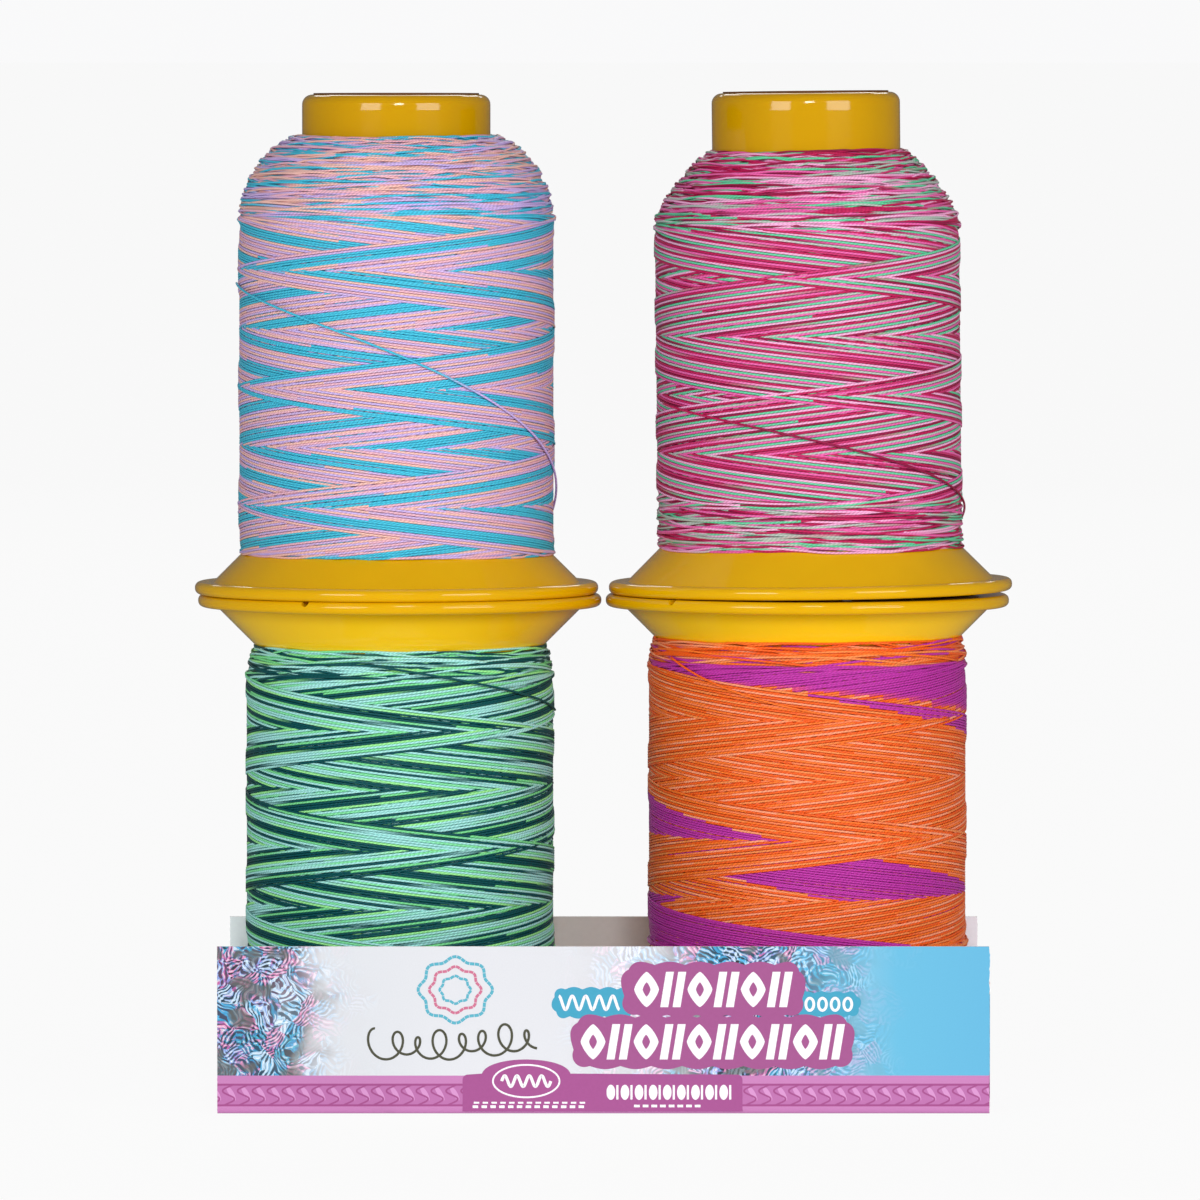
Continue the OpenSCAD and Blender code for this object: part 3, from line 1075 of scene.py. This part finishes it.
class Ink:
    """Flat shapes of one colour, a hair proud of the front and of the back wall."""

    def __init__(self, name, colour, proud):
        self.name, self.proud = name, proud
        self.verts, self.faces = [], []
        m = Nodes("ink_" + name)
        at = m.place()
        shade = m.mix(m.noise(1900.0, at, 2.0), darker(colour, 0.9), colour)
        self.material = m.surface(shade, 0.45, card_normal(m, at, 0.12)[1],
                                  Specular_IOR_Level=0.4)

    def add(self, points, faces, lift=0.0):
        """A piece of the shape: points (x, z) with faces that run anticlockwise from in front.
        lift is how much more it stands proud, one number or one for each point."""
        points = np.asarray(points, float)
        n = len(points)
        lift = np.broadcast_to(lift, n)
        edges = [(int(a), int(b)) for face in faces for a, b in zip(face, np.roll(face, -1))]
        known = set(edges)
        rim = [(a, b) for a, b in edges if (b, a) not in known]
        for turn in (1, -1):
            base = len(self.verts)
            for y in (-TRAY_Y - self.proud - lift, np.full(n, -TRAY_Y + 0.02)):
                self.verts += [(x * turn, v * turn, z) for (x, z), v in zip(points, y)]
            self.faces += [[base + int(i) for i in f] for f in faces]
            self.faces += [[base + n + int(i) for i in f[::-1]] for f in faces]
            self.faces += [[base + b, base + a, base + n + a, base + n + b] for a, b in rim]

    def plate(self, points, lift=0.0):
        self.add(points, [list(range(len(points)))], lift)

    def ring(self, outer, inner):
        """A closed band between two outlines with as many points."""
        self.add(np.concatenate([outer, inner]), strip_faces(len(outer), True))

    def stroke(self, points, width, closed=False, rise=0.0):
        """A line of that width, with square ends. It climbs by rise, so that it can cross itself."""
        p = np.asarray(points, float)
        if closed:
            way = np.roll(p, -1, 0) - np.roll(p, 1, 0)
        else:
            way = np.gradient(p, axis=0)
        way = unit(way)
        side = np.stack([-way[:, 1], way[:, 0]], 1) * width / 2
        climb = np.linspace(0, rise, len(p))
        self.add(np.concatenate([p - side, p + side]), strip_faces(len(p), closed),
                 np.tile(climb, 2))

    def dashes(self, points, width, dash, gap):
        """A closed line as a row of stitches."""
        p = np.concatenate([points, points[:1]])
        along = distances(p)
        count = max(1, int(along[-1] / (dash + gap)))
        unit = along[-1] / count
        for i in range(count):
            at = i * unit + np.linspace(0, unit * dash / (dash + gap), 5)
            self.stroke(np.stack([np.interp(at, along, p[:, k]) for k in (0, 1)], 1), width)

    def finish(self):
        obj = mesh_object("print_" + self.name, self.verts, self.faces, self.material,
                          smooth=False)
        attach(obj, "tray")


def arc(cx, cz, rx, rz, start=0, stop=360, n=48):
    t = np.radians(np.linspace(start, stop, n, endpoint=abs(stop - start) < 360))
    return np.stack([cx + rx * np.cos(t), cz + rz * np.sin(t)], 1)


def cartouche(x0, x1, z0, z1, r, depth, pitch):
    """A rounded box with a scalloped outline."""
    parts = []
    for cx, cz, start in ((x1 - r, z0 + r, -90), (x1 - r, z1 - r, 0),
                          (x0 + r, z1 - r, 90), (x0 + r, z0 + r, 180)):
        parts.append(arc(cx, cz, r, r, start, start + 90, 13))
    corner = np.concatenate(parts + [parts[0][:1]])
    along = distances(corner)
    n = int(along[-1] / 0.16)
    at = np.arange(n) * along[-1] / n
    p = np.stack([np.interp(at, along, corner[:, k]) for k in (0, 1)], 1)
    way = unit(np.roll(p, -1, 0) - np.roll(p, 1, 0))
    waves = max(1, round(along[-1] / pitch))
    bump = depth * (np.abs(np.sin(math.pi * waves * at / along[-1])) - 1)
    return p + np.stack([way[:, 1], -way[:, 0]], 1) * bump[:, None]


INKS = {name: Ink(name, colour, proud) for name, colour, proud in (
    ("teal", "3A9FBF", 0.012), ("magenta", "A04F8A", 0.02), ("panel", "A34C8D", 0.02),
    ("white", "F3F0F4", 0.032), ("thread", "4A4A38", 0.02), ("rose", "CC6E8E", 0.02),
    ("aqua", "55AFC4", 0.02))}


def stitch_row(x0, x1, mid):
    """Hollow diamonds and pairs of leaning bars in turn, from x0 to x1."""
    white = INKS["white"]
    half, lean, thick = 2.45, 0.4, 0.55
    t = np.radians(np.arange(0, 360, 6))
    size = (np.abs(np.cos(t)) ** 1.3 + np.abs(np.sin(t)) ** 1.3) ** (-1 / 1.3)
    diamond = np.stack([size * np.cos(t), size * np.sin(t)], 1)
    units = round((x1 - x0) / 3.68)
    pitch = (x1 - x0) / units
    for i in range(units):
        cx = x0 + (i + 0.5) * pitch
        if i % 2 == 0:
            white.ring(diamond * (1.72, half) + (cx, mid), diamond * (0.55, 1.0) + (cx, mid))
            continue
        for x in (cx - 0.85, cx + 0.85):
            white.plate([(x - lean - thick, mid - half), (x - lean + thick, mid - half),
                         (x + lean + thick, mid + half), (x + lean - thick, mid + half)])


def title_boxes():
    """Two scalloped boxes with rows of bold decorative stitches, and two small wavy ones."""
    teal, magenta, white = INKS["teal"], INKS["magenta"], INKS["white"]
    magenta.plate(cartouche(2.4, 27.9, 13.3, 21.1, 2.6, 0.45, 4.2))
    magenta.plate(cartouche(-4.6, 34.7, 6.2, 13.8, 2.6, 0.45, 4.2), 0.004)
    teal.plate(cartouche(-7.2, 4.4, 13.2, 17.6, 1.9, 0.35, 2.4))
    teal.plate(cartouche(26.4, 35.6, 13.4, 17.0, 1.6, 0.3, 2.0))
    stitch_row(4.1, 26.2, 17.25)
    stitch_row(-3.3, 33.4, 10.0)
    u = np.linspace(0, 1, 120)
    white.stroke(np.stack([-6.2 + 8.4 * u, 15.4 + 0.95 * np.cos(u * 9 * math.pi)], 1), 0.4)
    for i in range(4):
        white.stroke(arc(28.5 + 1.75 * i, 15.2, 0.55, 0.85, n=24), 0.38, closed=True)


def rosette():
    """Three stitched rings, each a little scalloped."""
    t = np.radians(np.arange(0, 360, 2))
    for ink, size, width in (("aqua", 1.0, 0.42), ("rose", 0.7, 0.38), ("aqua", 0.42, 0.36)):
        r = size * (1 + 0.07 * np.cos(8 * t))
        line = np.stack([-20.5 + 4.8 * r * np.cos(t), 17.2 + 4.3 * r * np.sin(t)], 1)
        INKS[ink].dashes(line, width, 0.6, 0.07)


def looped_thread():
    """A line of thread that runs in loops below the rosette."""
    u = np.linspace(0, 1, 420)
    turns = 2 * math.pi * 7.5 * u
    size = 0.95 + 0.3 * np.sin(turns * 0.37 + 0.6)
    line = np.stack([-31.6 + 22.4 * u - 1.35 * size * np.sin(turns),
                     9.9 + 1.75 * size * np.cos(turns) - 0.5 * np.sin(u * 5)], 1)
    INKS["thread"].stroke(line, 0.34, rise=0.03)


def middle_panel():
    """The panel in the middle of the band, with a badge and rows of small stitches."""
    white = INKS["white"]
    left, right, low, high, r = -19.5, 19.2, 0.35, 5.45, 0.7
    badge_x, badge_z = -10.7, 4.55
    t = np.linspace(0, math.pi, 40)
    hump = np.stack([badge_x + 6.2 * np.cos(t), 5.0 + 2.55 * np.sin(t) ** 0.8], 1)
    INKS["panel"].plate(np.concatenate([
        [(left, low), (right, low)], arc(right - r, high - r, r, r, 0, 90, 7),
        hump[hump[:, 1] > high + 0.01], arc(left + r, high - r, r, r, 90, 180, 7)]))
    white.stroke(arc(badge_x, badge_z, 4.6, 2.25, n=72), 0.24, closed=True)
    u = np.linspace(0, 1, 90)
    wave = np.stack([-14.1 + 6.8 * u, badge_z + 0.75 * np.sin(u * 8 * math.pi)], 1)
    white.stroke(wave, 0.42)
    for i in range(13):
        x = -18.1 + 1.22 * i
        white.stroke([(x, 1.0), (x + 0.75, 1.0)], 0.38)
        white.stroke([(x + 0.15, 1.55), (x + 0.9, 1.55)], 0.26)
    for i in range(9):
        x = 0.4 + 1.95 * i
        white.plate(arc(x + 0.6, 3.0, 0.6, 1.05, n=20))
        white.stroke([(x + 1.5, 2.0), (x + 1.5, 4.0)], 0.3)
    for i in range(8):
        x = 4.2 + 1.2 * i
        white.stroke([(x, 1.1), (x + 0.8, 1.1)], 0.36)


title_boxes()
rosette()
looped_thread()
middle_panel()
for ink in INKS.values():
    ink.finish()


# -------------------- floor and light

def by_ray(m, seen, lighting, mirrored):
    """A strength for the studio's surfaces: as seen, as fill light and as a reflection in gloss."""
    rays = m.add("LightPath").outputs
    total = mirrored
    for ray, strength in (("Is Diffuse Ray", lighting), ("Is Camera Ray", seen)):
        node = m.add("Math", operation="MULTIPLY_ADD")
        total = m.feed(node, rays[ray], strength - mirrored, total)
    return total


def floor():
    """A wide pale floor that gives its own light, so that shadows on it stay faint."""
    m = Nodes("floor")
    pale = m.surface((0.06, 0.06, 0.06, 1), 0.9, Specular_IOR_Level=0.0,
                     Emission_Color=(1, 1, 1, 1), Emission_Strength=by_ray(m, 0.93, 1.0, 0.12))
    size = 60000
    corners = [(-size, -size, 0), (size, -size, 0), (size, size, 0), (-size, size, 0)]
    obj = mesh_object("floor_sheet", corners, [(0, 1, 2, 3)], pale, smooth=False)


def world():
    """A pale surrounding, much dimmer as light than it is seen."""
    m = Nodes("studio", world=True)
    SCENE.world = m.owner
    back = m.feed(m.add("Background"), (1.0, 1.0, 1.005, 1), by_ray(m, 0.95, 0.15, 0.15))
    m.put(m.out.inputs[0], back)


def softbox(name, azimuth, distance, width, low, high, power):
    """An upright soft box that faces the pack, from height low to height high."""
    data = bpy.data.lights.new(name, "AREA")
    data.shape = "RECTANGLE"
    data.size, data.size_y = width, high - low
    data.energy = power
    obj = bpy.data.objects.new(name, data)
    a = math.radians(azimuth)
    way = Vector((math.sin(a), -math.cos(a), 0))
    obj.location = way * distance + Vector((0, 0, (low + high) / 2))
    obj.rotation_mode = "QUATERNION"
    obj.rotation_quaternion = way.to_track_quat("Z", "Y")
    SCENE.collection.objects.link(obj)


floor()
world()
softbox("softbox_left", -31, 2.2, 0.94, 0.21, 1.19, 17.5)
softbox("softbox_right", 40.5, 2.2, 1.15, 0.21, 1.19, 19.5)
softbox("front_fill", 4, 2.6, 0.5, 0.8, 1.5, 25)
softbox("back_fill", 180, 2.4, 1.4, 1.0, 1.7, 9)
SCENE.view_settings.view_transform = "Standard"
